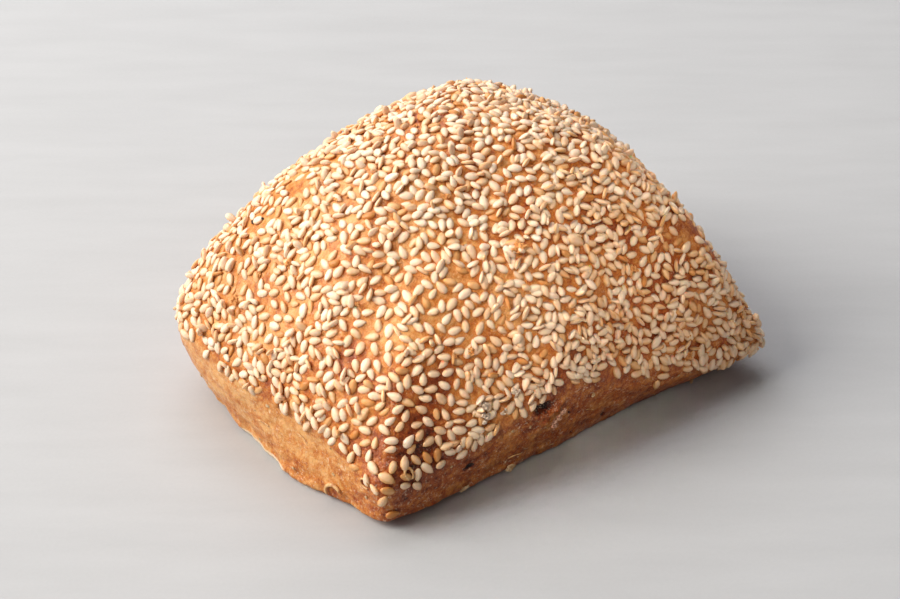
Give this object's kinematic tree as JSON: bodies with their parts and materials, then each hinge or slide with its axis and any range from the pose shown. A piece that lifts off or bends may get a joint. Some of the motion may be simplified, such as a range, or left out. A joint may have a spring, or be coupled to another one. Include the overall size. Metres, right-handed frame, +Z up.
{
  "type": "wholegrain bread roll",
  "caption": "Square wholegrain bread roll with a domed top covered in sesame seeds, pointed lower corners and a bare brown band that tucks under to a flat base.",
  "frame": {"origin": "on the flat sole, under the middle of the roll's bounding box", "axes": "+Z up through the crown, +X along the roll's longer sides, the straight bare front band faces -Y"},
  "size_m": [0.1065, 0.0894, 0.0595],
  "materials": {
    "crust": "dull baked crust, browner on the shaded band and flecked with flour and bran",
    "sesame": "satin pale cream hulled seed, some toasted golden",
    "flour": "dry matt flour and bran flakes"
  },
  "bodies": {
    "root": {"roll": "crust"}
  },
  "joints": []
}
